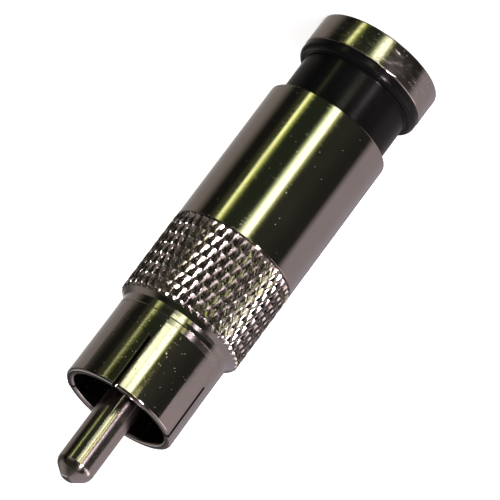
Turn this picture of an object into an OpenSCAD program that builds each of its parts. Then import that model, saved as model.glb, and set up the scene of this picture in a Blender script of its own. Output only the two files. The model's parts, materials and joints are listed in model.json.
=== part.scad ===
// Compression plug for coaxial cable: pin, slotted skirt, knurled body, sliding sleeve.
// Millimetres, standing on the cable end: z = 0 is the rear face of the end ring, the pin points up.

/* [Centre pin] */
// Diameter of the plug pin
pin_d = 3.2; // [2.8:0.05:3.6]
// How far the pin stands out past the rim of the skirt
pin_reach = 7; // [5:0.1:9]
// Length of the tapered nose
pin_nose_len = 0.9; // [0.8:0.05:1.5]
// Width of the flat at the very tip, before rounding
pin_tip_d = 1; // [0.9:0.05:1.8]
// Rounding where the nose meets the shank
pin_shoulder_round = 0.9; // [0.3:0.05:1]
// Rounding of the tip
pin_tip_round = 0.45; // [0.1:0.05:0.6]
// Diameter of the thicker root that fills the front insulator's hole
pin_root_d = 3.7; // [3.6:0.05:3.9]
// Diameter of the shoulder that traps the pin between the insulators
pin_collar_d = 4.4; // [4:0.1:5]
// Length of that shoulder
pin_collar_len = 1; // [0.6:0.1:1.4]
// Outer diameter of the rear socket
socket_d = 2.6; // [2.2:0.05:2.8]
// Length of the rear socket behind the shoulder
socket_len = 1.8; // [1.2:0.1:2.2]
// Bore that takes the inner conductor
wire_bore_d = 1.2; // [0.9:0.05:1.4]
// Depth of that bore
wire_bore_depth = 4; // [2.6:0.1:6]
// Width of the slots that let the socket spring
socket_slot_w = 0.3; // [0.2:0.05:0.4]

/* [Ground skirt] */
// Outer diameter at the root of the skirt
skirt_od = 9.9; // [9.6:0.05:10.2]
// Wall of the skirt
skirt_wall = 0.65; // [0.55:0.05:0.9]
// Length from the seam to the rim
skirt_len = 7.15; // [6.4:0.05:8]
// How much wider the rim is than the root, on each side
skirt_flare = 0.04; // [0:0.01:0.1]
// Rounding of the rim's outer edge
rim_round = 0.3; // [0.1:0.05:0.3]
// Lead-in chamfer inside the rim
rim_lead = 0.2; // [0.1:0.05:0.25]
// Width of the saw cuts
slot_w = 0.32; // [0.25:0.01:0.6]
// Length of the saw cuts from the rim
slot_len = 5; // [3.5:0.1:5.5]
// Direction of the first saw cut, which runs right across the skirt
first_cut_turn = 27.7; // [0:0.1:60]
// Direction of the second saw cut
second_cut_turn = 106.5; // [80:0.1:150]
// Wall of the tail that is pressed into the body
tail_wall = 0.3; // [0.2:0.05:0.4]
// Length of the tail
tail_len = 2.8; // [2:0.1:3.2]
// Chamfer on each side of the seam
seam_chamfer = 0.08; // [0.04:0.01:0.12]

/* [Grip collar] */
// Length of the plain nose ring in front of the collar
nose_len = 0.75; // [0.5:0.05:1.2]
// Length of the collar's tapered front
taper_len = 0.6; // [0.4:0.05:0.9]
// Length of the plain land between the taper and the knurl
land_len = 0.12; // [0.12:0.02:0.6]
// Rounding between the taper and the land
taper_round = 0.2; // [0.05:0.05:0.2]
// How far the land stands above the knurl's crests
land_rise = 0.01; // [0.01:0.01:0.03]
// Diameter over the crests of the knurl
knurl_d = 11.14; // [11:0.02:11.6]
// Depth of the knurl
knurl_depth = 0.24; // [0.14:0.02:0.3]
// Length of the knurled band
knurl_len = 7.23; // [6:0.01:9]
// How far the knurl runs in under the land
knurl_run_in = 0.1; // [0.05:0.01:0.12]
// Number of grooves of each hand
knurl_count = 44; // [36:1:56]
// Number of half diamonds along the band
knurl_rows = 7; // [5:1:10]
// Width of the relief groove behind the knurl
relief_w = 0.14; // [0.08:0.02:0.24]
// Depth of the relief groove below the knurl's roots
relief_depth = 0.06; // [0.04:0.01:0.12]

/* [Barrel] */
// Outer diameter of the smooth barrel
barrel_od = 11.06; // [10.9:0.02:11.4]
// Length of the smooth barrel
barrel_len = 13.3; // [12.5:0.1:16]
// Rounding of the barrel's rear edge
barrel_round = 0.12; // [0.05:0.01:0.4]
// Rounding of the barrel's front edge, at the relief groove
barrel_front_round = 0.06; // [0.03:0.01:0.1]
// Chamfer inside the barrel's mouth
mouth_chamfer = 0.15; // [0.05:0.05:0.2]
// Bore of the front cavity, where the post is pressed in
cavity_d = 8.8; // [8.2:0.1:9.2]
// Length of the taper that squeezes the sleeve
squeeze_len = 1; // [0.6:0.1:1.4]
// Length of the web between the two cavities
web_len = 3.4; // [3:0.1:3.8]
// Bore through the web
web_bore_d = 7; // [6.4:0.1:7.6]

/* [Compression sleeve] */
// Outer diameter of the sleeve
sleeve_od = 9.68; // [9.4:0.02:9.8]
// Bore that the cable goes through
cable_bore_d = 8.4; // [8:0.05:8.6]
// Length of sleeve that shows between body and flange before compression
open_len = 4; // [3:0.1:4.6]
// Length of sleeve inside the barrel before compression
grip_len = 4.5; // [3.6:0.1:5]
// Wall of the thin lip at the sleeve's front end
lip_wall = 0.42; // [0.36:0.01:0.46]
// Length of the thin lip
lip_len = 4.8; // [4.6:0.1:5.6]
// Chamfer on the lip's outer edge
lip_chamfer = 0.25; // [0.1:0.05:0.3]
// Diameter of the flange
flange_d = 11.06; // [10.8:0.02:11.4]
// Length of the flange
flange_len = 0.9; // [0.6:0.05:1.2]
// Rounding of the flange's front edge
flange_round = 0.45; // [0.05:0.05:0.55]

/* [End ring] */
// Outer diameter of the ring
ring_od = 11.12; // [10.9:0.02:11.4]
// Wall of the ring around the sleeve's tail
ring_wall = 0.71; // [0.6:0.01:0.8]
// Length of the ring
ring_len = 2.6; // [2:0.1:3.2]
// Thickness of the lip that covers the sleeve's rear end
ring_lip = 0.6; // [0.4:0.05:0.8]
// Chamfer on the ring's front edge
ring_front_chamfer = 0.1; // [0.05:0.01:0.2]
// Rounding of the ring's rear edge
ring_rear_round = 0.12; // [0.05:0.01:0.4]
// Chamfer at the cable entry
entry_chamfer = 0.2; // [0.1:0.05:0.3]

/* [Cable post] */
// Bore of the post
post_bore_d = 4.9; // [4.6:0.05:5.1]
// Wall of the post
post_wall = 0.4; // [0.3:0.05:0.5]
// Length of the post behind its flange
post_len = 9.6; // [8.4:0.1:10]
// Length of the flange
post_flange_len = 1.2; // [0.9:0.1:1.5]
// Height of the barb
barb_height = 0.25; // [0.15:0.05:0.35]
// Length of the barb
barb_len = 1.6; // [1:0.1:2.2]
// Thickness of the post at its rear edge
post_edge = 0.2; // [0.1:0.05:0.25]

/* [Insulators] */
// How deep the front insulator's face lies behind the rim
face_depth = 7.8; // [7.2:0.1:8.6]
// Length of the front insulator's flange, under the skirt's tail
bead_flange_len = 3.3; // [2.8:0.1:3.8]
// Mouth of the rear insulator's funnel
funnel_d = 4.4; // [3.6:0.1:4.6]
// Length of the funnel
funnel_len = 1.3; // [0.8:0.1:1.5]

/* [Fits] */
// Radial clearance of pressed pieces
press_gap = 0.01; // [0.01:0.01:0.03]
// Radial clearance of the insulators and the pin in them
seat_gap = 0.03; // [0.02:0.01:0.06]
// Radial clearance of the sliding sleeve in the barrel
slide_gap = 0.05; // [0.02:0.01:0.08]
// Gap left between flange and barrel at full compression
stop_gap = 0.1; // [0.05:0.05:0.3]

/* [Hidden] */
$fn = 96;
ARC_STEPS = 5;
OVER = 1;

// Heights, from the cable end to the tip of the pin
flange_z = ring_len;
sleeve_z = flange_z + flange_len;
barrel_z = sleeve_z + open_len;
relief_z = barrel_z + barrel_len;
knurl_z = relief_z + relief_w;
knurl_top_z = knurl_z + knurl_len;
land_z = knurl_top_z + land_len;
collar_z = land_z + taper_len;
seam_z = collar_z + nose_len;
rim_z = seam_z + skirt_len;
tip_z = rim_z + pin_reach;
face_z = rim_z - face_depth;
tail_z = seam_z - tail_len;
web_top_z = tail_z - bead_flange_len;
web_z = web_top_z - web_len;
post_flange_z = web_z - post_flange_len;
post_z = post_flange_z - post_len;
pin_collar_z = web_top_z + pin_collar_len;
socket_z = web_top_z - socket_len;
lip_end_z = barrel_z + grip_len;
travel = open_len - stop_gap;
squeeze_z = lip_end_z + travel + stop_gap;

// Radii that pieces share
pin_r = pin_d / 2;
skirt_r = skirt_od / 2;
skirt_bore_r = skirt_r - skirt_wall;
tail_r = skirt_bore_r + tail_wall;
front_bore_r = tail_r + press_gap;
barrel_r = barrel_od / 2;
crest_r = knurl_d / 2;
root_r = crest_r - knurl_depth;
relief_r = root_r - relief_depth;
land_r = crest_r + land_rise;
sleeve_r = sleeve_od / 2;
ring_r = ring_od / 2;
ring_seat_r = ring_r - ring_wall;
cable_r = cable_bore_d / 2;
cavity_r = cavity_d / 2;
post_bore_r = post_bore_d / 2;
post_r = post_bore_r + post_wall;

// Points of an arc of radius r that rounds the corner b between a and c
function toward(from, to) = (to - from) / norm(to - from);
function corner_arc(a, b, c, r) =
    let (
        u = toward(b, a),
        v = toward(b, c),
        half = acos(u * v) / 2,
        centre = b + (u + v) / norm(u + v) * r / sin(half),
        start = b + u * r / tan(half) - centre,
        side = sign(u.x * v.y - u.y * v.x),
        first = atan2(start.y, start.x),
        sweep = side * (180 - 2 * half)
    )
    [
        for (k = [0:ARC_STEPS])
            centre + r * [cos(first - sweep * k / ARC_STEPS), sin(first - sweep * k / ARC_STEPS)]
    ];

// A solid turned from a profile of [radius, height] points
module turned(profile) {
    rotate_extrude() polygon(profile);
}

// Diamond knurl: a closed band of pyramids between left-hand and right-hand grooves.
// Rings of points alternate between root and crest, and each ring is half a diamond along.
module knurl_band() {
    sides = 2 * knurl_count;
    row_len = (knurl_len + knurl_run_in) / knurl_rows;
    inner_r = relief_r - knurl_depth;
    function ring_point(r, i, z) = [r * cos(180 * i / knurl_count), r * sin(180 * i / knurl_count), z];
    function at(row, i) = row * sides + i % sides;
    knurled = [
        for (row = [0:knurl_rows], i = [0:sides - 1])
            ring_point((i + row) % 2 == 0 ? root_r : crest_r, i, knurl_z + row * row_len)
    ];
    inner = [
        for (z = [knurl_top_z + knurl_run_in, knurl_z], i = [0:sides - 1])
            ring_point(inner_r, i, z)
    ];
    last = knurl_rows + 2;
    // every square between two rings is split along its groove, root to root
    faces = [
        for (row = [0:last], i = [0:sides - 1])
            let (
                above = (row + 1) % (last + 1),
                a = at(row, i),
                b = at(row, i + 1),
                c = at(above, i + 1),
                d = at(above, i),
                on_groove = (i + row) % 2 == 0
            )
            each on_groove ? [[a, c, b], [a, d, c]] : [[a, d, b], [b, d, c]]
    ];
    polyhedron(points = concat(knurled, inner), faces = faces);
}

module centre_pin() {
    tip_r = pin_tip_d / 2;
    nose_z = tip_z - pin_nose_len;
    pin_root_r = pin_root_d / 2;
    shank = [pin_r, face_z];
    shoulder = [pin_r, nose_z];
    tip = [tip_r, tip_z];
    color("silver") difference() {
        turned(concat(
            [[0, socket_z], [socket_d / 2, socket_z], [socket_d / 2, web_top_z]],
            [[pin_collar_d / 2, web_top_z], [pin_collar_d / 2, pin_collar_z]],
            [[pin_root_r, pin_collar_z], [pin_root_r, face_z], shank],
            corner_arc(shank, shoulder, tip, pin_shoulder_round),
            corner_arc(shoulder, tip, [0, tip_z], pin_tip_round),
            [[0, tip_z]]
        ));
        translate([0, 0, socket_z - OVER]) cylinder(d = wire_bore_d, h = wire_bore_depth + OVER);
        for (turn = [0, 90])
            rotate(turn)
                translate([-socket_d, -socket_slot_w / 2, socket_z - OVER])
                    cube([2 * socket_d, socket_slot_w, socket_len + OVER]);
    }
}

module ground_skirt() {
    rim_r = skirt_r + skirt_flare;
    rim_bore_r = skirt_bore_r + rim_lead;
    root = [skirt_r, seam_z + seam_chamfer];
    rim = [rim_r, rim_z];
    color("silver") difference() {
        turned(concat(
            [[skirt_bore_r, tail_z], [tail_r, tail_z], [tail_r, seam_z]],
            [[skirt_r - seam_chamfer, seam_z], root],
            corner_arc(root, rim, [rim_bore_r, rim_z], rim_round),
            [[rim_bore_r, rim_z], [skirt_bore_r, rim_z - rim_lead]]
        ));
        for (turn = [first_cut_turn, second_cut_turn])
            rotate(turn)
                translate([-skirt_od, -slot_w / 2, rim_z - slot_len])
                    cube([2 * skirt_od, slot_w, slot_len + OVER]);
    }
}

module connector_body() {
    mouth_r = sleeve_r + slide_gap;
    rear_inner = [mouth_r, barrel_z];
    rear_edge = [barrel_r, barrel_z];
    front_edge = [barrel_r, relief_z];
    front_inner = [relief_r, relief_z];
    land_rear = [land_r, knurl_top_z];
    land_edge = [land_r, land_z];
    taper_end = [skirt_r, collar_z];
    color("silver") difference() {
        union() {
            turned(concat(
                [[0, barrel_z]],
                corner_arc(rear_inner, rear_edge, front_edge, barrel_round),
                corner_arc(rear_edge, front_edge, front_inner, barrel_front_round),
                [front_inner, [relief_r, knurl_top_z], land_rear],
                corner_arc(land_rear, land_edge, taper_end, taper_round),
                [taper_end, [skirt_r, seam_z - seam_chamfer]],
                [[skirt_r - seam_chamfer, seam_z], [0, seam_z]]
            ));
            knurl_band();
        }
        turned([
            [0, barrel_z - OVER], [mouth_r + mouth_chamfer, barrel_z - OVER],
            [mouth_r + mouth_chamfer, barrel_z], [mouth_r, barrel_z + mouth_chamfer],
            [mouth_r, squeeze_z], [cavity_r, squeeze_z + squeeze_len],
            [cavity_r, web_z], [web_bore_d / 2, web_z],
            [web_bore_d / 2, web_top_z], [front_bore_r, web_top_z],
            [front_bore_r, seam_z + OVER], [0, seam_z + OVER]
        ]);
    }
}

module compression_sleeve() {
    flange_r = flange_d / 2;
    sleeve_tail_r = ring_seat_r - press_gap;
    lip_bore_r = sleeve_r - lip_wall;
    lip_z = lip_end_z - lip_len;
    flange_rear = [flange_r, flange_z];
    flange_edge = [flange_r, sleeve_z];
    flange_root = [sleeve_r, sleeve_z];
    color("#1c1c1c") turned(concat(
        [[cable_r, ring_lip], [sleeve_tail_r, ring_lip], [sleeve_tail_r, flange_z], flange_rear],
        corner_arc(flange_rear, flange_edge, flange_root, flange_round),
        [flange_root, [sleeve_r, lip_end_z - lip_chamfer], [sleeve_r - lip_chamfer, lip_end_z]],
        [[lip_bore_r, lip_end_z], [lip_bore_r, lip_z], [cable_r, lip_z]]
    ));
}

module compression_ring() {
    rear_inner = [cable_r, 0];
    rear_edge = [ring_r, 0];
    front_edge = [ring_r, ring_len - ring_front_chamfer];
    color("silver") turned(concat(
        [[cable_r, entry_chamfer], [cable_r + entry_chamfer, 0]],
        corner_arc(rear_inner, rear_edge, front_edge, ring_rear_round),
        [front_edge, [ring_r - ring_front_chamfer, ring_len], [ring_seat_r, ring_len]],
        [[ring_seat_r, ring_lip], [cable_r, ring_lip]]
    ));
}

module front_insulator() {
    hole_r = pin_root_d / 2 + seat_gap;
    collar_r = pin_collar_d / 2 + seat_gap;
    flange_r = front_bore_r - seat_gap;
    boss_r = skirt_bore_r - seat_gap;
    color("#2b2b2b") turned([
        [collar_r, web_top_z], [flange_r, web_top_z],
        [flange_r, tail_z], [boss_r, tail_z],
        [boss_r, face_z], [hole_r, face_z],
        [hole_r, pin_collar_z], [collar_r, pin_collar_z]
    ]);
}

module rear_insulator() {
    outer_r = web_bore_d / 2 - seat_gap;
    hole_r = socket_d / 2 + seat_gap;
    throat_r = wire_bore_d / 2;
    color("#2b2b2b") turned([
        [funnel_d / 2, web_z], [outer_r, web_z],
        [outer_r, web_top_z], [hole_r, web_top_z],
        [hole_r, socket_z], [throat_r, socket_z],
        [throat_r, web_z + funnel_len]
    ]);
}

module cable_post() {
    flange_r = cavity_r - press_gap;
    barb_z = post_z + barb_len;
    color("silver") turned([
        [post_bore_r, post_z], [post_bore_r + post_edge, post_z],
        [post_r + barb_height, barb_z], [post_r, barb_z],
        [post_r, post_flange_z], [flange_r, post_flange_z],
        [flange_r, web_z], [post_bore_r, web_z]
    ]);
}

centre_pin();
ground_skirt();
connector_body();
compression_sleeve();
compression_ring();
front_insulator();
rear_insulator();
cable_post();
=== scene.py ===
"""Looks of a compression plug for coaxial cable: nickel-plated turned pieces, a knurl and a black sleeve.

The plug stands on its end ring with the pin up. Shapes are built in millimetres and then scaled to metres.
"""

import json
import math

import bmesh
import bpy
from mathutils import Matrix, Vector


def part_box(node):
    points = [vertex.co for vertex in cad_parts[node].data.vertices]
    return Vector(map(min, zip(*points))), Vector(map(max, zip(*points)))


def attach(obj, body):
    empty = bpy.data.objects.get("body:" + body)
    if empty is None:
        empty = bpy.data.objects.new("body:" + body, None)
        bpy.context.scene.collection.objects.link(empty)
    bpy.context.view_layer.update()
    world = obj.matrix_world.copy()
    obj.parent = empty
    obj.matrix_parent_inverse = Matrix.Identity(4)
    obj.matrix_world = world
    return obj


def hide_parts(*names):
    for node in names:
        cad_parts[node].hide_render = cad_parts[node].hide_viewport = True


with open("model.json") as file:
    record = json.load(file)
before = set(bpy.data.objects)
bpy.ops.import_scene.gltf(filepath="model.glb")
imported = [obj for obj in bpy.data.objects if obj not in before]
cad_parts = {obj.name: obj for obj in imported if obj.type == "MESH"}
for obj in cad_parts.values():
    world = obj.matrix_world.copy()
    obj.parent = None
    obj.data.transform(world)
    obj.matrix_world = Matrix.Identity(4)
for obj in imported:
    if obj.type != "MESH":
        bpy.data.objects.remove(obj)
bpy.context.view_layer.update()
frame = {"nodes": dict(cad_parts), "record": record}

# A millimetre in metres; tolerances in millimetres; the sharpest bend, in degrees, that still looks smooth
MM = 0.001
ORIGIN = (0, 0, 0)
UP = (0, 0, 1)
SIDES = 176
NEAR = 0.004
WELD = 0.0005
CREASE = 31

# Steps that an eased edge is rounded in
CHAMFERED = 1
FILLETED = 3
TIP_STEPS = 5
EDGE_STEPS = 6
ROUND_STEPS = 8
RIM_STEPS = 10

# Places of a piece's second and third materials
SLOT_SHADE_PLACE = 1
KNURL_PLACE = 1
RUBBED_PLACE = 2


# Sizes that the frame gives, in millimetres
def reach(node):
    """Lowest height, greatest height and greatest radius of a CAD node."""
    low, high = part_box(node)
    return low.z / MM, high.z / MM, high.x / MM


mounts = {mount["name"]: mount for mount in frame["record"]["mounts"]}
ring_z, ring_top_z, ring_r = reach("compression_ring")
sleeve_tail_z, lip_end_z, flange_r = reach("compression_sleeve")
barrel_z, seam_z, land_r = reach("connector_body")
tail_z, rim_z, rim_r = reach("ground_skirt")
socket_z, tip_z, pin_collar_r = reach("centre_pin")
web_top_z, face_z, _ = reach("front_insulator")
web_z, _, web_bore_r = reach("rear_insulator")
pin_r = mounts["plug_pin"]["dims"]["r_mm"]
cable_r = mounts["cable_entry"]["dims"]["r_mm"]

# Sizes of the pin
NOSE_LEN = 0.9
TIP_R = 0.5
SHOULDER_EASE = 0.43
TIP_EASE = 0.16
PIN_ROOT_R = 1.85
PIN_COLLAR_LEN = 1.0
SOCKET_R = 1.3
SOCKET_CUTS = (0, 90, 180, 270)
SOCKET_SLOT_W = 0.3
WIRE_R = 0.6
WIRE_DEPTH = 4.0

# Sizes of the skirt
SKIRT_R = 4.95
SKIRT_WALL = 0.65
SKIRT_TAIL_WALL = 0.3
SEAM_CHAMFER = 0.05
RIM_EASE = 0.22
RIM_LEAD = 0.2
RUBBED_LEN = 0.55
SKIRT_CREASE = 12

# Saw cuts: directions in degrees, the pressed lips beside them, and which faces count as their walls
SAW_CUTS = (27.7, 106.5)
SLOT_W = 0.3
SLOT_LEN = 5.0
LIP_W = 0.05
LIP_ROLL = 0.02
LIP_END = 0.1
CUT_REACH = 0.2
CUT_SQUARE = 0.98

# Sizes of the body
NOSE_RING_LEN = 0.75
NOSE_RUBBED_LEN = 0.35
TAPER_SLOPE = 1.05
TAPER_STEPS = 5
TAPER_JOIN = 0.03
RELIEF_W = 0.14
RELIEF_DEPTH = 0.06
BODY_CREASE = 16
BARREL_R = 5.53
BARREL_LEN = 13.42
BARREL_EASE = 0.12
BARREL_FRONT_EASE = 0.06
MOUTH_R = 4.89
MOUTH_CHAMFER = 0.15
CAVITY_R = 4.4
SQUEEZE_Z = 16.0
SQUEEZE_LEN = 1.0
PRESS_GAP = 0.01

# The knurl: a diamond's (width, rise) steps from foot to crest, how far its ends fall off, and the
# sides of the small gaps that the end cuts leave
KNURL_COUNT = 44
KNURL_ROW_LEN = 1.02
TOOTH_STEPS = ((0.085, 0.092), (0.1, 0.073), (0.095, 0.048), (0.06, 0.0125))
TOOTH_CROWN = 0.85
CREST_GAP_SIDES = 3
RIDGE_CREASE = 22

# Sizes of the sleeve and the end ring
SLEEVE_R = 4.84
SLEEVE_TAIL_R = 4.84
FLANGE_LEN = 0.9
FLANGE_EASE = 0.45
FLANGE_FILLET = 0.06
LIP_WALL = 0.42
LIP_LEN = 4.8
LIP_CHAMFER = 0.25
RING_SEAT_R = 4.85
RING_FRONT_EASE = 0.1
RING_REAR_EASE = 0.12
ENTRY_CHAMFER = 0.2

# Heights and radii that follow
skirt_bore_r = SKIRT_R - SKIRT_WALL
skirt_tail_r = skirt_bore_r + SKIRT_TAIL_WALL
collar_z = seam_z - NOSE_RING_LEN
relief_z = barrel_z + BARREL_LEN
knurl_z = relief_z + RELIEF_W
crest_r = land_r - PRESS_GAP
knurl_root_r = crest_r - sum(rise for _, rise in TOOTH_STEPS)
relief_r = knurl_root_r - RELIEF_DEPTH
crest_end_z = collar_z - (crest_r - SKIRT_R) / TAPER_SLOPE
knurl_top_z = collar_z - (knurl_root_r - SKIRT_R) / TAPER_SLOPE
sleeve_z = ring_top_z + FLANGE_LEN


# Mesh operators that several pieces use
def turned(profile, closed=True, slots=(), slot_half=0, lip=0):
    """A mesh turned about the z axis from (radius, height) points.

    Columns of points stand at each slot's sides, and a lip's width beside them.
    """
    bm = bmesh.new()
    points = [bm.verts.new((radius, 0, height)) for radius, height in profile]
    ends = points[1:] + points[:1] if closed else points[1:]
    section = points + [bm.edges.new(pair) for pair in zip(points, ends)]
    if not slots:
        bmesh.ops.spin(
            bm, geom=section, cent=ORIGIN, axis=UP, angle=math.tau, steps=SIDES, use_merge=True
        )
    else:
        first = Matrix.Rotation(slots[0] - slot_half, 3, "Z")
        bmesh.ops.rotate(bm, verts=points, cent=ORIGIN, matrix=first)
        for slot, after in zip(slots, slots[1:] + [slots[0] + math.tau]):
            for arc in (2 * slot_half, lip, after - slot - 2 * (slot_half + lip), lip):
                if not arc:
                    continue
                steps = max(1, round(arc / math.tau * SIDES))
                swept = bmesh.ops.spin(bm, geom=section, cent=ORIGIN, axis=UP, angle=arc, steps=steps)
                section = swept["geom_last"]
    bmesh.ops.remove_doubles(bm, verts=bm.verts, dist=WELD)
    bmesh.ops.recalc_face_normals(bm, faces=bm.faces)
    return bm


def round_edges(bm, radius, height):
    """The edges that run round the axis at that radius and height."""
    return [
        edge
        for edge in bm.edges
        if all(
            abs(point.co.xy.length - radius) < NEAR and abs(point.co.z - height) < NEAR
            for point in edge.verts
        )
    ]


def ease(bm, edges, size, segments):
    """Rounds edges off, or chamfers them with one segment."""
    bmesh.ops.bevel(
        bm, geom=edges, offset=size, segments=segments, profile=0.5, affect="EDGES", material=-1
    )


def saw_fingers(bm, slots, slot_half, inner_r, outer_r, floor_z, length):
    """Draws the fingers between the saw cuts out of the flat ring at floor_z; returns their new points."""
    fingers = []
    for flat in bm.faces:
        centre = flat.calc_center_median()
        level = all(abs(point.co.z - floor_z) < NEAR for point in flat.verts)
        if not level or not inner_r < centre.xy.length < outer_r:
            continue
        turn = math.atan2(centre.y, centre.x)
        off = [abs(math.remainder(turn - slot, math.tau)) for slot in slots]
        if min(off) > slot_half:
            fingers.append(flat)
    drawn = bmesh.ops.extrude_face_region(bm, geom=fingers)
    ends = [item for item in drawn["geom"] if isinstance(item, bmesh.types.BMVert)]
    bmesh.ops.translate(bm, verts=ends, vec=(0, 0, length))
    bmesh.ops.delete(bm, geom=fingers, context="FACES")
    bmesh.ops.recalc_face_normals(bm, faces=bm.faces)
    return ends


def slot_walls(bm, turn):
    """The faces on either side of the saw cut in that direction."""
    walls = []
    bm.normal_update()
    for face in bm.faces:
        middle = face.calc_center_median()
        off = abs(math.remainder(math.atan2(middle.y, middle.x) - turn, math.pi))
        around = Vector((-middle.y, middle.x, 0)).normalized()
        if off < CUT_REACH and abs(face.normal.dot(around)) > CUT_SQUARE:
            walls.append(face)
    return walls


def mark_band(bm, low_z, high_z, index):
    """Gives the outer wall between two heights another of the piece's materials."""
    for face in bm.faces:
        centre = face.calc_center_median()
        if low_z < centre.z < high_z and centre.xy.length > SKIRT_R - SEAM_CHAMFER:
            face.material_index = index


def roll_lips(bm, slots, slot_half, lip, outer_r, low_z):
    """Presses in the outer edges along the saw cuts, above a height."""
    for point in bm.verts:
        turn = math.atan2(point.co.y, point.co.x)
        off = min(abs(math.remainder(turn - slot, math.tau)) for slot in slots)
        beside = off < slot_half + lip / 2
        if beside and point.co.xy.length > outer_r - NEAR and point.co.z > low_z:
            point.co.xy *= 1 - LIP_ROLL / outer_r


def finished(name, bm, node, body, slot, *materials, crease=CREASE, ridge_crease=None):
    """Makes the mesh an object in metres that stands for a CAD node and rides on its body.

    Edges sharper than crease show as edges; on the knurl's own ridges ridge_crease decides.
    """
    bmesh.ops.recalc_face_normals(bm, faces=bm.faces)
    bmesh.ops.scale(bm, verts=bm.verts, vec=(MM, MM, MM))
    for face in bm.faces:
        face.smooth = True
    for edge in bm.edges:
        ridge = edge.is_convex and all(face.material_index == KNURL_PLACE for face in edge.link_faces)
        limit = ridge_crease if ridge and ridge_crease else crease
        edge.smooth = edge.calc_face_angle(0) < math.radians(limit)
    mesh = bpy.data.meshes.new(name)
    bm.to_mesh(mesh)
    bm.free()
    for material in materials:
        mesh.materials.append(material)
    piece = bpy.data.objects.new(name, mesh)
    bpy.context.scene.collection.objects.link(piece)
    piece.modifiers.new("even_normals", "WEIGHTED_NORMAL").keep_sharp = True
    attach(piece, body)
    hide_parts(node)


# The pieces
def pin_mesh():
    """The pin: blunt nose, straight shank, a trapped shoulder, and a slotted socket for the wire."""
    slots = [math.radians(turn) for turn in SOCKET_CUTS]
    slot_half = math.asin(SOCKET_SLOT_W / 2 / SOCKET_R)
    collar_top_z = web_top_z + PIN_COLLAR_LEN
    bore_top_z = socket_z + WIRE_DEPTH
    nose_z = tip_z - NOSE_LEN
    bm = turned(
        [
            (0, bore_top_z), (WIRE_R, bore_top_z), (WIRE_R, web_top_z), (SOCKET_R, web_top_z),
            (pin_collar_r, web_top_z), (pin_collar_r, collar_top_z), (PIN_ROOT_R, collar_top_z),
            (PIN_ROOT_R, face_z), (pin_r, face_z), (pin_r, nose_z), (TIP_R, tip_z), (0, tip_z),
        ],
        closed=False, slots=slots, slot_half=slot_half,
    )
    saw_fingers(bm, slots, slot_half, WIRE_R, SOCKET_R, web_top_z, socket_z - web_top_z)
    ease(bm, round_edges(bm, pin_r, nose_z), SHOULDER_EASE, ROUND_STEPS)
    ease(bm, round_edges(bm, TIP_R, tip_z), TIP_EASE, TIP_STEPS)
    return bm


def skirt_mesh():
    """The skirt: a tube with four fingers between two saw cuts, and a tail pressed into the body."""
    floor_z = rim_z - SLOT_LEN
    rubbed_z = seam_z + RUBBED_LEN
    slots = sorted(math.radians(turn + half) for turn in SAW_CUTS for half in (0, 180))
    slot_half = math.asin(SLOT_W / 2 / SKIRT_R)
    lip = LIP_W / SKIRT_R
    bm = turned(
        [
            (skirt_bore_r, tail_z), (skirt_tail_r, tail_z), (skirt_tail_r, seam_z),
            (SKIRT_R, seam_z), (SKIRT_R, rubbed_z), (SKIRT_R, floor_z - LIP_END), (SKIRT_R, floor_z),
            (skirt_bore_r, floor_z),
        ],
        slots=slots, slot_half=slot_half, lip=lip,
    )
    rim = saw_fingers(bm, slots, slot_half, skirt_bore_r, SKIRT_R, floor_z, SLOT_LEN)
    outside = [point for point in rim if point.co.xy.length > SKIRT_R - NEAR]
    flare = rim_r / SKIRT_R
    bmesh.ops.scale(bm, verts=outside, vec=(flare, flare, 1))
    roll_lips(bm, slots, slot_half, lip, SKIRT_R, floor_z - NEAR)
    ease(bm, round_edges(bm, SKIRT_R, seam_z), SEAM_CHAMFER, CHAMFERED)
    rim_edges = round_edges(bm, rim_r, rim_z) + round_edges(bm, rim_r - LIP_ROLL, rim_z)
    ease(bm, rim_edges, RIM_EASE, RIM_STEPS)
    ease(bm, round_edges(bm, skirt_bore_r, rim_z), RIM_LEAD, ROUND_STEPS)
    # The saw cuts' walls take the metal darkened with painted shade
    for turn in SAW_CUTS:
        for wall in slot_walls(bm, math.radians(turn)):
            wall.material_index = SLOT_SHADE_PLACE
    mark_band(bm, seam_z, rubbed_z, RUBBED_PLACE)
    return bm


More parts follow.
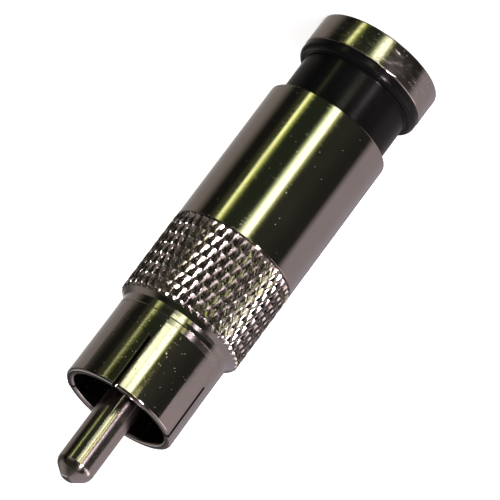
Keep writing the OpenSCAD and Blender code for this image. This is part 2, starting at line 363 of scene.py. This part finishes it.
def knurl_mesh():
    """The knurl: one crowned diamond, repeated round the collar and along it, then tapered in front."""
    half_turn = math.pi / KNURL_COUNT
    rows = math.ceil((knurl_top_z - knurl_z) / KNURL_ROW_LEN)
    side = knurl_root_r * math.sin(half_turn)
    side_x = knurl_root_r * math.cos(half_turn)
    bm = bmesh.new()
    corners = [
        (knurl_root_r, 0, -KNURL_ROW_LEN), (side_x, side, 0),
        (knurl_root_r, 0, KNURL_ROW_LEN), (side_x, -side, 0),
    ]
    bm.faces.new([bm.verts.new(corner) for corner in corners])
    bmesh.ops.subdivide_edges(bm, edges=bm.edges[:], cuts=1)
    crest = next(iter(bm.faces))
    crest.normal_update()
    root = bm.verts[:]
    for width, rise in TOOTH_STEPS:
        bmesh.ops.inset_individual(bm, faces=[crest], thickness=width, depth=rise, use_even_offset=True)
    for point in bm.verts:
        if point not in root:
            point.co.x -= TOOTH_CROWN * (point.co.z / KNURL_ROW_LEN) ** 2 * (point.co.x - side_x)
    bmesh.ops.translate(bm, verts=bm.verts, vec=(0, 0, knurl_z))
    bmesh.ops.spin(
        bm, geom=bm.verts[:] + bm.edges[:] + bm.faces[:], cent=ORIGIN, axis=UP,
        angle=math.tau - 2 * half_turn, steps=KNURL_COUNT - 1, use_duplicate=True,
    )
    first_row = bm.verts[:] + bm.edges[:] + bm.faces[:]
    for row in range(1, rows + 1):
        copy = bmesh.ops.duplicate(bm, geom=first_row)["geom"]
        points = [item for item in copy if isinstance(item, bmesh.types.BMVert)]
        bmesh.ops.rotate(bm, verts=points, cent=ORIGIN, matrix=Matrix.Rotation(row * half_turn, 3, "Z"))
        bmesh.ops.translate(bm, verts=points, vec=(0, 0, row * KNURL_ROW_LEN))
    bmesh.ops.remove_doubles(bm, verts=bm.verts, dist=WELD)
    step = (knurl_top_z - crest_end_z) / TAPER_STEPS
    cuts = [(crest_end_z + count * step, 1, False) for count in range(TAPER_STEPS)]
    for height, outward, ends in cuts + [(knurl_z, -1, True), (knurl_top_z, 1, True)]:
        bmesh.ops.bisect_plane(
            bm, geom=bm.verts[:] + bm.edges[:] + bm.faces[:], dist=WELD,
            plane_co=(0, 0, height), plane_no=(0, 0, outward), clear_outer=ends,
        )
    loose = [edge for edge in bm.edges if edge.is_wire]
    bmesh.ops.delete(bm, geom=loose, context="EDGES")
    bmesh.ops.holes_fill(bm, edges=bm.edges[:], sides=CREST_GAP_SIDES)
    for point in bm.verts:
        limit = SKIRT_R + (collar_z - point.co.z) * TAPER_SLOPE
        if point.co.xy.length > limit:
            point.co.xy *= limit / point.co.xy.length
    for face in bm.faces:
        face.material_index = KNURL_PLACE
    return bm


def body_mesh():
    """The body: nose ring, knurled collar and smooth barrel, bored for the cable and the insulators."""
    front_bore_r = skirt_tail_r + PRESS_GAP
    rubbed_z = collar_z + NOSE_RUBBED_LEN
    bm = turned(
        [
            (knurl_root_r - TAPER_JOIN * TAPER_SLOPE, knurl_top_z + TAPER_JOIN),
            (SKIRT_R, collar_z), (SKIRT_R, rubbed_z), (SKIRT_R, seam_z), (front_bore_r, seam_z),
            (front_bore_r, web_top_z), (web_bore_r, web_top_z), (web_bore_r, web_z),
            (CAVITY_R, web_z), (CAVITY_R, SQUEEZE_Z + SQUEEZE_LEN), (MOUTH_R, SQUEEZE_Z),
            (MOUTH_R, barrel_z), (BARREL_R, barrel_z), (BARREL_R, relief_z),
            (relief_r, relief_z), (relief_r, knurl_z),
        ],
        closed=False,
    )
    ease(bm, round_edges(bm, SKIRT_R, seam_z), SEAM_CHAMFER, CHAMFERED)
    ease(bm, round_edges(bm, MOUTH_R, barrel_z), MOUTH_CHAMFER, CHAMFERED)
    ease(bm, round_edges(bm, BARREL_R, barrel_z), BARREL_EASE, EDGE_STEPS)
    ease(bm, round_edges(bm, BARREL_R, relief_z), BARREL_FRONT_EASE, EDGE_STEPS)
    mark_band(bm, collar_z, rubbed_z, RUBBED_PLACE)
    knurl = knurl_mesh()
    shell = bpy.data.meshes.new("knurl")
    knurl.to_mesh(shell)
    knurl.free()
    bm.from_mesh(shell)
    bpy.data.meshes.remove(shell)
    for height in (knurl_z, knurl_top_z):
        rims = [
            edge
            for edge in bm.edges
            if edge.is_boundary and abs(edge.verts[0].co.z - height) < TAPER_JOIN + NEAR
        ]
        bmesh.ops.bridge_loops(bm, edges=rims)
    return bm


def sleeve_mesh():
    """The black sleeve: flange, smooth tube, and a thin lip that the body squeezes onto the cable."""
    lip_bore_r = SLEEVE_R - LIP_WALL
    lip_z = lip_end_z - LIP_LEN
    bm = turned([
        (cable_r, sleeve_tail_z), (SLEEVE_TAIL_R, sleeve_tail_z), (SLEEVE_TAIL_R, ring_top_z),
        (flange_r, ring_top_z), (flange_r, sleeve_z), (SLEEVE_R, sleeve_z),
        (SLEEVE_R, lip_end_z), (lip_bore_r, lip_end_z), (lip_bore_r, lip_z), (cable_r, lip_z),
    ])
    ease(bm, round_edges(bm, flange_r, sleeve_z), FLANGE_EASE, ROUND_STEPS)
    ease(bm, round_edges(bm, flange_r, ring_top_z), FLANGE_FILLET, FILLETED)
    ease(bm, round_edges(bm, SLEEVE_R, sleeve_z), FLANGE_FILLET, FILLETED)
    ease(bm, round_edges(bm, SLEEVE_R, lip_end_z), LIP_CHAMFER, CHAMFERED)
    return bm


def ring_mesh():
    """The end ring, pressed over the sleeve's tail, with a lip that covers the sleeve's end."""
    bm = turned([
        (cable_r, ring_z), (ring_r, ring_z), (ring_r, ring_top_z), (RING_SEAT_R, ring_top_z),
        (RING_SEAT_R, sleeve_tail_z), (cable_r, sleeve_tail_z),
    ])
    ease(bm, round_edges(bm, ring_r, ring_z), RING_REAR_EASE, EDGE_STEPS)
    ease(bm, round_edges(bm, ring_r, ring_top_z), RING_FRONT_EASE, FILLETED)
    ease(bm, round_edges(bm, cable_r, ring_z), ENTRY_CHAMFER, CHAMFERED)
    return bm


# Colours of the finishes, and the quarter turn that lays a highlight across the turning marks
NICKEL = (0.60, 0.56, 0.54, 1)
NICKEL_DULL = (0.54, 0.50, 0.48, 1)
# Painted shade: the saw cuts' walls are near black, standing for the shadow inside the cuts
SLOT_SHADE = (0.035, 0.026, 0.023, 1)
SLOT_SHADE_DULL = (0.025, 0.019, 0.017, 1)
SLEEVE_BLACK = (0.003, 0.003, 0.0033, 1)
SLEEVE_WORN = (0.005, 0.005, 0.0055, 1)
INSULATOR_BLACK = (0.012, 0.011, 0.010, 1)
INSULATOR_WORN = (0.02, 0.018, 0.016, 1)
ACROSS = 0.25

# Turning marks: scales are per millimetre, and ranges are where the noise fades in
DRIFT_SCALE = 0.7
DRIFT_MM = 0.05
MARK_DETAIL = 2.0
MARK_ROUGHNESS = 0.6
SCRATCH_RANGE = (0.6, 0.72)
BREAK_SCALE = 1.6
BREAK_RANGE = (0.42, 0.58)

# The plated skin: ripple, rough pits and smudges
RIPPLE_DETAIL = 2.0
RIPPLE_ROUGHNESS = 0.55
PIT_SCALE = 5.0
PIT_RANGE = (0.05, 0.34)
PIT_DEPTH = 0.006
PIT_ROUGHNESS = 0.42
SMUDGE_SCALE = 0.35
SMUDGE_DETAIL = 4.0
SMUDGE_RANGE = (0.35, 0.7)

# Plastic
PLASTIC_GRAIN = 6.0
PLASTIC_GRAIN_DEPTH = 0.002
PLASTIC_MARKS = 14.0
PLASTIC_SHEEN = 0.19


# Materials
def add(tree, kind, inputs=None, **settings):
    """A node with its settings, and each input set to a value or linked from a socket."""
    made = tree.nodes.new(kind)
    for name, value in settings.items():
        setattr(made, name, value)
    for name, value in (inputs or {}).items():
        if isinstance(value, bpy.types.NodeSocket):
            tree.links.new(value, made.inputs[name])
        else:
            made.inputs[name].default_value = value
    return made


def math_node(tree, operation, *values):
    """A Math node's result."""
    return add(tree, "ShaderNodeMath", dict(enumerate(values)), operation=operation).outputs[0]


def remapped(tree, value, low, high, to_low, to_high):
    """A value carried from one range to another, smoothly and within the ends."""
    made = add(
        tree, "ShaderNodeMapRange",
        {"Value": value, "From Min": low, "From Max": high, "To Min": to_low, "To Max": to_high},
        interpolation_type="SMOOTHSTEP",
    )
    return made.outputs["Result"]


def effect(name, inputs, outputs):
    """An empty node group with its sockets, as (tree, group inputs, group outputs)."""
    tree = bpy.data.node_groups.new(name, "ShaderNodeTree")
    for label, kind in inputs:
        tree.interface.new_socket(label, in_out="INPUT", socket_type=kind)
    for label in outputs:
        tree.interface.new_socket(label, in_out="OUTPUT", socket_type="NodeSocketFloat")
    return tree, tree.nodes.new("NodeGroupInput").outputs, tree.nodes.new("NodeGroupOutput").inputs


def turning_marks_effect():
    """Fine rings round the axis, as a cutting tool leaves them: close brushing, and broken scratches."""
    tree, given, result = effect(
        "turning_marks",
        [("Point", "NodeSocketVector"), ("Marks per mm", "NodeSocketFloat")],
        ["Brushing", "Scratches"],
    )
    along = add(tree, "ShaderNodeSeparateXYZ", {0: given["Point"]}).outputs["Z"]
    drift = add(tree, "ShaderNodeTexNoise", {"Vector": given["Point"], "Scale": DRIFT_SCALE})
    bent = math_node(tree, "MULTIPLY_ADD", drift.outputs["Fac"], DRIFT_MM, along)
    count = math_node(tree, "MULTIPLY", bent, given["Marks per mm"])
    lines = add(
        tree, "ShaderNodeTexNoise",
        {"W": count, "Scale": 1.0, "Detail": MARK_DETAIL, "Roughness": MARK_ROUGHNESS},
        noise_dimensions="1D",
    ).outputs["Fac"]
    tree.links.new(lines, result["Brushing"])
    breaks = add(tree, "ShaderNodeTexNoise", {"Vector": given["Point"], "Scale": BREAK_SCALE})
    cut = remapped(tree, lines, *SCRATCH_RANGE, 0.0, 1.0)
    kept = remapped(tree, breaks.outputs["Fac"], *BREAK_RANGE, 0.0, 1.0)
    tree.links.new(math_node(tree, "MULTIPLY", cut, kept), result["Scratches"])
    return tree


def plated_grain_effect():
    """The skin of a plated piece: a fine ripple, scattered rough pits, and broad smudges."""
    tree, given, result = effect(
        "plated_grain",
        [
            ("Point", "NodeSocketVector"), ("Grain per mm", "NodeSocketFloat"),
            ("Pit share", "NodeSocketFloat"),
        ],
        ["Ripple", "Pits", "Smudge"],
    )
    ripple = add(
        tree, "ShaderNodeTexNoise",
        {
            "Vector": given["Point"], "Scale": given["Grain per mm"],
            "Detail": RIPPLE_DETAIL, "Roughness": RIPPLE_ROUGHNESS,
        },
    )
    cells = add(tree, "ShaderNodeTexVoronoi", {"Vector": given["Point"], "Scale": PIT_SCALE})
    lot = add(tree, "ShaderNodeSeparateColor", {"Color": cells.outputs["Color"]}).outputs["Red"]
    chosen = math_node(tree, "LESS_THAN", lot, given["Pit share"])
    bowl = remapped(tree, cells.outputs["Distance"], *PIT_RANGE, 1.0, 0.0)
    smudge = add(
        tree, "ShaderNodeTexNoise",
        {"Vector": given["Point"], "Scale": SMUDGE_SCALE, "Detail": SMUDGE_DETAIL},
    )
    tree.links.new(ripple.outputs["Fac"], result["Ripple"])
    tree.links.new(math_node(tree, "MULTIPLY", bowl, chosen), result["Pits"])
    tree.links.new(smudge.outputs["Fac"], result["Smudge"])
    return tree


def new_material(name):
    """A material's tree, its shader, and the object coordinates in millimetres."""
    material = bpy.data.materials.new(name)
    material.use_nodes = True
    tree = material.node_tree
    shader = tree.nodes["Principled BSDF"]
    place = tree.nodes.new("ShaderNodeTexCoord").outputs["Object"]
    point = add(tree, "ShaderNodeMapping", {"Vector": place, "Scale": (1 / MM,) * 3}).outputs["Vector"]
    return material, tree, shader, point


def bumped(tree, height, depth_mm, below=None):
    """The normal of a bump of that depth, laid over another bump."""
    inputs = {"Height": height, "Distance": depth_mm * MM}
    if below:
        inputs["Normal"] = below
    return add(tree, "ShaderNodeBump", inputs).outputs["Normal"]


def streaked(tree, shader, point, amount):
    """Stretches highlights across the turning marks, along the axis."""
    around = add(tree, "ShaderNodeVectorMath", {0: UP, 1: point}, operation="CROSS_PRODUCT")
    tree.links.new(around.outputs["Vector"], shader.inputs["Tangent"])
    shader.inputs["Anisotropic"].default_value = amount
    shader.inputs["Anisotropic Rotation"].default_value = ACROSS


def nickel(
    name, marks, marks_per_mm, mark_depth, grain_per_mm, grain_depth, pit_share, smooth, dull,
    streak=0, clean=NICKEL, stained=NICKEL_DULL,
):
    """Nickel plate on a turned piece, or the rough metal of the saw cuts' walls, where the near-black
    colours given are painted shade.

    Depths are in millimetres. Smooth and dull are its roughness range, and streak is how far
    highlights stretch.
    """
    material, tree, shader, point = new_material(name)
    shader.inputs["Metallic"].default_value = 1.0
    skin = add(
        tree, "ShaderNodeGroup",
        {"Point": point, "Grain per mm": grain_per_mm, "Pit share": pit_share}, node_tree=plated_grain,
    ).outputs
    turning = add(
        tree, "ShaderNodeGroup", {"Point": point, "Marks per mm": marks_per_mm}, node_tree=turning_marks
    ).outputs
    normal = bumped(tree, turning[marks], mark_depth)
    normal = bumped(tree, skin["Ripple"], grain_depth, normal)
    normal = bumped(tree, math_node(tree, "SUBTRACT", 1.0, skin["Pits"]), PIT_DEPTH, normal)
    if streak:
        streaked(tree, shader, point, streak)
    tint = add(
        tree, "ShaderNodeMix", {"Factor": skin["Smudge"], "A": clean, "B": stained}, data_type="RGBA"
    )
    even = remapped(tree, skin["Smudge"], *SMUDGE_RANGE, smooth, dull)
    pitted = math_node(tree, "MULTIPLY", skin["Pits"], PIT_ROUGHNESS)
    tree.links.new(tint.outputs["Result"], shader.inputs["Base Color"])
    tree.links.new(math_node(tree, "MAXIMUM", even, pitted), shader.inputs["Roughness"])
    tree.links.new(normal, shader.inputs["Normal"])
    return material


def plastic(name, clean, worn, smooth, dull, mark_depth, streak=0):
    """Plastic with marks that run round the axis; smooth and dull are its roughness range."""
    material, tree, shader, point = new_material(name)
    skin = add(
        tree, "ShaderNodeGroup",
        {"Point": point, "Grain per mm": PLASTIC_GRAIN, "Pit share": 0.0}, node_tree=plated_grain,
    ).outputs
    turning = add(
        tree, "ShaderNodeGroup", {"Point": point, "Marks per mm": PLASTIC_MARKS}, node_tree=turning_marks
    ).outputs
    tint = add(
        tree, "ShaderNodeMix", {"Factor": skin["Smudge"], "A": clean, "B": worn}, data_type="RGBA"
    )
    normal = bumped(tree, turning["Scratches"], mark_depth)
    normal = bumped(tree, skin["Ripple"], PLASTIC_GRAIN_DEPTH, normal)
    even = remapped(tree, skin["Smudge"], *SMUDGE_RANGE, smooth, dull)
    tree.links.new(tint.outputs["Result"], shader.inputs["Base Color"])
    tree.links.new(even, shader.inputs["Roughness"])
    tree.links.new(normal, shader.inputs["Normal"])
    shader.inputs["Specular IOR Level"].default_value = PLASTIC_SHEEN
    if streak:
        streaked(tree, shader, point, streak)
    return material


turning_marks = turning_marks_effect()
plated_grain = plated_grain_effect()
barrel_nickel = nickel(
    "barrel_nickel", "Scratches", marks_per_mm=9.0, mark_depth=0.0012, grain_per_mm=9.0,
    grain_depth=0.0014, pit_share=0.035, smooth=0.08, dull=0.12,
)
skirt_nickel = nickel(
    "skirt_nickel", "Scratches", marks_per_mm=9.0, mark_depth=0.0005, grain_per_mm=6.0,
    grain_depth=0.002, pit_share=0.15, smooth=0.09, dull=0.13,
)
rubbed_nickel = nickel(
    "rubbed_nickel", "Scratches", marks_per_mm=9.0, mark_depth=0.0005, grain_per_mm=6.0,
    grain_depth=0.002, pit_share=0.1, smooth=0.18, dull=0.22, streak=0.9,
)
# The saw cuts' walls: rough, brushed metal whose near-black colour is painted shade
slot_shade_metal = nickel(
    "slot_shade_metal", "Brushing", marks_per_mm=9.0, mark_depth=0.004, grain_per_mm=4.0,
    grain_depth=0.006, pit_share=0.0, smooth=0.5, dull=0.6, clean=SLOT_SHADE, stained=SLOT_SHADE_DULL,
)
knurl_nickel = nickel(
    "knurl_nickel", "Scratches", marks_per_mm=9.0, mark_depth=0.0004, grain_per_mm=5.0,
    grain_depth=0.01, pit_share=0.3, smooth=0.2, dull=0.26,
)
pin_nickel = nickel(
    "pin_nickel", "Brushing", marks_per_mm=14.0, mark_depth=0.003, grain_per_mm=5.0,
    grain_depth=0.002, pit_share=0.0, smooth=0.17, dull=0.2, streak=0.8,
)
ring_nickel = nickel(
    "ring_nickel", "Scratches", marks_per_mm=10.0, mark_depth=0.004, grain_per_mm=6.0,
    grain_depth=0.003, pit_share=0.15, smooth=0.13, dull=0.17, streak=0.35,
)
sleeve_plastic = plastic(
    "sleeve_plastic", SLEEVE_BLACK, SLEEVE_WORN, smooth=0.22, dull=0.28, mark_depth=0.002, streak=0.9
)
insulator_plastic = plastic(
    "insulator_plastic", INSULATOR_BLACK, INSULATOR_WORN, smooth=0.35, dull=0.5, mark_depth=0.002
)

finished("plug_pin", pin_mesh(), "centre_pin", "plug", "nickel_plate", pin_nickel)
finished(
    "plug_skirt", skirt_mesh(), "ground_skirt", "plug", "nickel_plate",
    skirt_nickel, slot_shade_metal, rubbed_nickel, crease=SKIRT_CREASE,
)
finished(
    "plug_body", body_mesh(), "connector_body", "plug", "nickel_plate",
    barrel_nickel, knurl_nickel, rubbed_nickel, crease=BODY_CREASE, ridge_crease=RIDGE_CREASE,
)
finished("black_sleeve", sleeve_mesh(), "compression_sleeve", "ferrule", "black_plastic", sleeve_plastic)
finished("end_ring", ring_mesh(), "compression_ring", "ferrule", "nickel_plate", ring_nickel)
for node, material in (
    ("front_insulator", insulator_plastic),
    ("rear_insulator", insulator_plastic),
    ("cable_post", ring_nickel),
):
    for holder in frame["nodes"][node].material_slots:
        holder.material = material

# Colours of the room that the metal reflects
WHITE = (1, 1, 1, 1)
BLACK = (0, 0, 0, 1)
PALE = (0.36, 0.31, 0.31, 1)
BACK = (0.38, 0.34, 0.38, 1)
BEHIND = (0.12, 0.11, 0.11, 1)
DOORWAY = (0.8, 0.78, 0.74, 1)
DARK = (0.03, 0.032, 0.022, 1)
DUSK = (0.022, 0.022, 0.017, 1)
OLIVE = (0.024, 0.03, 0.017, 1)
GLOOM = (0.013, 0.013, 0.01, 1)
OVERHEAD = (0.10, 0.09, 0.09, 1)
UNDERFOOT = (0.03, 0.028, 0.024, 1)
PATCH_SOFT = (0.42, 0.35, 0.36, 1)
PATCH_BRIGHT = (2.4, 2.05, 2.1, 1)

# The room by azimuth, in degrees: 0 is towards the camera and 90 is to its right
WALLS = (
    (-180, BEHIND), (-170, BEHIND), (-158, BACK), (-150, BACK), (-120, PALE), (-84, PALE),
    (-72, DUSK), (-55, DUSK), (-30, DARK), (0, DARK), (20, OLIVE), (70, OLIVE), (80, GLOOM), (93, GLOOM),
    (98, (0.05, 0.048, 0.038, 1)), (105, (0.15, 0.13, 0.105, 1)), (114, (0.235, 0.205, 0.18, 1)),
    (138, (0.3, 0.265, 0.25, 1)), (158, (0.38, 0.38, 0.36, 1)), (164, DOORWAY), (171, DOORWAY),
    (175, BEHIND), (180, BEHIND),
)
WINDOWS = (
    (-180, BLACK), (-9, BLACK), (-6, (0.06, 0.07, 0.02, 1)), (-1.8, (0.42, 0.48, 0.08, 1)),
    (1.4, (2.6, 2.6, 1.8, 1)), (9, (2.6, 2.6, 2.0, 1)), (13, (1.2, 1.4, 0.65, 1)),
    (16.5, (0.2, 0.24, 0.12, 1)), (20.5, BLACK), (47.5, BLACK), (50.5, (0.07, 0.09, 0.02, 1)),
    (54.7, (0.5, 0.55, 0.08, 1)), (58, (1.7, 1.85, 0.75, 1)), (61.2, (2.0, 2.1, 0.95, 1)),
    (62.8, (0.04, 0.05, 0.02, 1)), (71, (0.035, 0.03, 0.01, 1)), (76, BLACK), (180, BLACK),
)
PATCHES = (
    (-180, BLACK), (-108, BLACK), (-98, PATCH_BRIGHT), (-58, PATCH_BRIGHT), (-42, BLACK),
    (22, BLACK), (30, PATCH_SOFT), (64, PATCH_SOFT), (74, BLACK), (180, BLACK),
)

# Shares of the walls', windows' and patches' light by height, in degrees above the horizon
WALL_HEIGHTS = ((-90, 0.3), (-38, 0.3), (-30, 1), (-11, 1), (-1, 0.3), (16, 0.3), (28, 1), (90, 1))
WINDOW_HEIGHTS = ((-90, 0), (-33, 0), (-28, 1), (-10, 1), (-4, 0), (90, 0))
PATCH_HEIGHTS = ((-90, 0), (0, 0), (3, 1), (10, 1), (14, 0), (90, 0))

# By azimuth, where the walls are fully lit at every height
SIDE_LIGHT = ((-180, 1), (-80, 1), (-70, 0), (180, 0))

# Sines of the heights between which the walls give way to what is overhead or underfoot
STEEP = 0.985
STEEPEST = 0.998


def bands(tree, angle, stops):
    """A colour by an angle in radians, from (degrees, colour) stops."""
    share = math_node(tree, "MULTIPLY_ADD", angle, 1 / math.tau, 0.5)
    made = add(tree, "ShaderNodeValToRGB", {"Fac": share})
    ramp = made.color_ramp.elements
    ramp[0].color = stops[0][1]
    ramp[1].color = stops[-1][1]
    for degrees, colour in stops[1:-1]:
        ramp.new(degrees / 360 + 0.5).color = colour
    return made.outputs["Color"]


def greys(stops):
    """Stops of a plain value, as greys."""
    return [(degrees, (value, value, value, 1)) for degrees, value in stops]


def mixed(tree, share, first, second):
    """One colour carried over into another."""
    made = add(tree, "ShaderNodeMix", {"Factor": share, "A": first, "B": second}, data_type="RGBA")
    return made.outputs["Result"]


def added(tree, first, second):
    """The sum of two colours."""
    made = add(
        tree, "ShaderNodeMix", {"Factor": 1.0, "A": first, "B": second}, data_type="RGBA", blend_type="ADD"
    )
    return made.outputs["Result"]


def room():
    """The world: walls, windows and pale patches for reflections and light, and white behind the plug."""
    world = bpy.data.worlds.new("room")
    world.use_nodes = True
    bpy.context.scene.world = world
    tree = world.node_tree
    direction = tree.nodes.new("ShaderNodeTexCoord").outputs["Generated"]
    toward = add(tree, "ShaderNodeSeparateXYZ", {0: direction}).outputs
    azimuth = math_node(tree, "ARCTAN2", toward["X"], math_node(tree, "MULTIPLY", toward["Y"], -1.0))
    height = math_node(tree, "ARCSINE", toward["Z"])
    above = remapped(tree, toward["Z"], STEEP, STEEPEST, 0.0, 1.0)
    below = remapped(tree, toward["Z"], -STEEPEST, -STEEP, 1.0, 0.0)
    level = bands(tree, height, greys(WALL_HEIGHTS))
    level = math_node(tree, "MAXIMUM", level, bands(tree, azimuth, greys(SIDE_LIGHT)))
    walls = mixed(tree, level, BLACK, bands(tree, azimuth, WALLS))
    walls = mixed(tree, above, walls, OVERHEAD)
    walls = mixed(tree, below, walls, UNDERFOOT)
    glare = mixed(tree, bands(tree, height, greys(WINDOW_HEIGHTS)), BLACK, bands(tree, azimuth, WINDOWS))
    patches = mixed(tree, bands(tree, height, greys(PATCH_HEIGHTS)), BLACK, bands(tree, azimuth, PATCHES))
    lit = added(tree, added(tree, walls, glare), patches)
    seen = tree.nodes.new("ShaderNodeLightPath").outputs["Is Camera Ray"]
    tree.links.new(mixed(tree, seen, lit, WHITE), tree.nodes["Background"].inputs["Color"])


# The floor: lengths in metres, its colour, and how far it glows for the camera
FLOOR_R = 1.2
FLOOR_SIDES = 96
FLOOR_DROP = 0.00002
FLOOR_WHITE = (0.8, 0.8, 0.8, 1)
FLOOR_LIFT = 0.8


def floor():
    """A wide pale floor that keeps the soft shadow; reflections look past it into the room."""
    bm = bmesh.new()
    bmesh.ops.create_circle(bm, cap_ends=True, segments=FLOOR_SIDES, radius=FLOOR_R)
    bmesh.ops.translate(bm, verts=bm.verts, vec=(0, 0, -FLOOR_DROP))
    mesh = bpy.data.meshes.new("floor")
    bm.to_mesh(mesh)
    bm.free()
    material = bpy.data.materials.new("floor_white")
    material.use_nodes = True
    tree = material.node_tree
    tree.nodes.remove(tree.nodes["Principled BSDF"])
    matt = add(tree, "ShaderNodeBsdfDiffuse", {"Color": FLOOR_WHITE})
    seen = tree.nodes.new("ShaderNodeLightPath").outputs["Is Camera Ray"]
    lift = add(tree, "ShaderNodeEmission", {"Strength": math_node(tree, "MULTIPLY", seen, FLOOR_LIFT)})
    both = add(tree, "ShaderNodeAddShader", {0: matt.outputs[0], 1: lift.outputs[0]})
    tree.links.new(both.outputs[0], tree.nodes["Material Output"].inputs["Surface"])
    mesh.materials.append(material)
    plate = bpy.data.objects.new("floor", mesh)
    bpy.context.scene.collection.objects.link(plate)
    plate.visible_glossy = False


def lamp(name, azimuth, elevation, away, size, power, colour, reflected):
    """A round lamp aimed at the middle of the plug."""
    light = bpy.data.lights.new(name, "AREA")
    light.shape = "DISK"
    light.size = size
    light.energy = power
    light.color = colour
    holder = bpy.data.objects.new(name, light)
    bpy.context.scene.collection.objects.link(holder)
    turn = Matrix.Rotation(math.radians(azimuth), 4, "Z")
    tilt = Matrix.Rotation(math.radians(90 - elevation), 4, "X")
    middle = Matrix.Translation((0, 0, tip_z * MM / 2))
    holder.matrix_world = middle @ turn @ tilt @ Matrix.Translation((0, 0, away))
    holder.visible_glossy = reflected


# Cards that paint reflections and shade into the metal: their distance from the axis in metres, and the
# setting that makes a grid one unit wide
CARD_AWAY = 0.1
UNIT_GRID = 0.5

# Heights of the cards' edges, in millimetres, for the reflections in nose ring, skirt and pin
NOSE_LOW = -2.7
SKIRT_LOW = -1.45
SKIRT_HIGH = 7.5
PIN_HIGH = 16.0
GLOW_HIGH = 40.0

# Each card's name, azimuth, width in metres, lowest and highest edge, share it lets through, and glow
# Dark cards paint shade into reflections, and glowing ones paint reflected strips
CARDS = (
    ("nose_scrim", 60, 0.03, NOSE_LOW, SKIRT_LOW, 0.03, DARK),
    ("skirt_scrim", 62.5, 0.021, SKIRT_LOW, SKIRT_HIGH, 0.28, DARK),
    ("skirt_slit_shade", 51.5, 0.0175, SKIRT_LOW, SKIRT_HIGH, 0.14, BLACK),
    ("skirt_strip_shade", -6.5, 0.013, SKIRT_LOW, SKIRT_HIGH, 0.4, BLACK),
    ("skirt_back_shade", 101, 0.0246, SKIRT_LOW, SKIRT_HIGH, 0.43, BLACK),
    ("skirt_glow", 18.5, 0.017, NOSE_LOW, SKIRT_HIGH, 1.0, (2.2, 2.25, 1.5, 1)),
    ("skirt_side_glow", -92.5, 0.077, SKIRT_LOW, SKIRT_HIGH, 0.0, (0.41, 0.35, 0.35, 1)),
    ("pin_flag", 60, 0.03, SKIRT_HIGH, PIN_HIGH, 0.0, DARK),
    ("pin_shade", 14, 0.03, SKIRT_HIGH, PIN_HIGH, 0.0, DARK),
    ("pin_glow", -9, 0.011, SKIRT_HIGH, GLOW_HIGH, 1.0, (2.9, 2.9, 1.3, 1)),
)


def card(name, azimuth, width, low_mm, high_mm, clear, glow):
    """A card that only reflections see, for painted shade and painted reflections: it lets part of the
    room through, and adds its own glow.
    """
    bm = bmesh.new()
    bmesh.ops.create_grid(bm, x_segments=1, y_segments=1, size=UNIT_GRID)
    bmesh.ops.scale(bm, verts=bm.verts, vec=(width, (high_mm - low_mm) * MM, 1))
    upright = Matrix.Rotation(math.radians(90), 4, "X")
    turn = Matrix.Rotation(math.radians(azimuth), 4, "Z")
    place = Matrix.Translation((0, -CARD_AWAY, (low_mm + high_mm) / 2 * MM))
    bmesh.ops.transform(bm, verts=bm.verts, matrix=turn @ place @ upright)
    mesh = bpy.data.meshes.new(name)
    bm.to_mesh(mesh)
    bm.free()
    material = bpy.data.materials.new(name)
    material.use_nodes = True
    tree = material.node_tree
    tree.nodes.remove(tree.nodes["Principled BSDF"])
    see_through = add(tree, "ShaderNodeBsdfTransparent", {"Color": (clear, clear, clear, 1)})
    own = add(tree, "ShaderNodeEmission", {"Color": glow})
    both = add(tree, "ShaderNodeAddShader", {0: see_through.outputs[0], 1: own.outputs[0]})
    tree.links.new(both.outputs[0], tree.nodes["Material Output"].inputs["Surface"])
    mesh.materials.append(material)
    plate = bpy.data.objects.new(name, mesh)
    bpy.context.scene.collection.objects.link(plate)
    plate.visible_camera = False
    plate.visible_diffuse = False
    plate.visible_shadow = False


# The camera, rolled so that the pin points down to the left; angles in degrees, lengths in metres
CAMERA_AWAY = 0.4
CAMERA_NEAREST = 0.01
CAMERA_ELEVATION = 19.3
CAMERA_ROLL = -143.3
CAMERA_AIM = (-0.00081, 0, 0.0196)

# Focal length and sensor width, in millimetres
CAMERA_LENS = 363.0
CAMERA_SENSOR = 36


def camera():
    """A long lens at the photograph's angle."""
    lens = bpy.data.cameras.new("camera")
    lens.lens = CAMERA_LENS
    lens.sensor_width = CAMERA_SENSOR
    lens.clip_start = CAMERA_NEAREST
    eye = bpy.data.objects.new("camera", lens)
    bpy.context.scene.collection.objects.link(eye)
    tilt = Matrix.Rotation(math.radians(90 - CAMERA_ELEVATION), 4, "X")
    roll = Matrix.Rotation(math.radians(CAMERA_ROLL), 4, "Z")
    back = Matrix.Translation((0, 0, CAMERA_AWAY))
    eye.matrix_world = Matrix.Translation(CAMERA_AIM) @ tilt @ roll @ back
    bpy.context.scene.camera = eye


room()
floor()
lamp(
    "soft_key", azimuth=-40, elevation=62, away=0.6, size=0.4, power=3.0, colour=(1, 1, 1), reflected=False
)
lamp(
    "flash", azimuth=-25, elevation=10, away=0.45, size=0.07, power=2.0, colour=(1, 0.83, 0.89),
    reflected=True,
)
for row in CARDS:
    card(*row)
camera()
bpy.context.scene.view_settings.view_transform = "Standard"
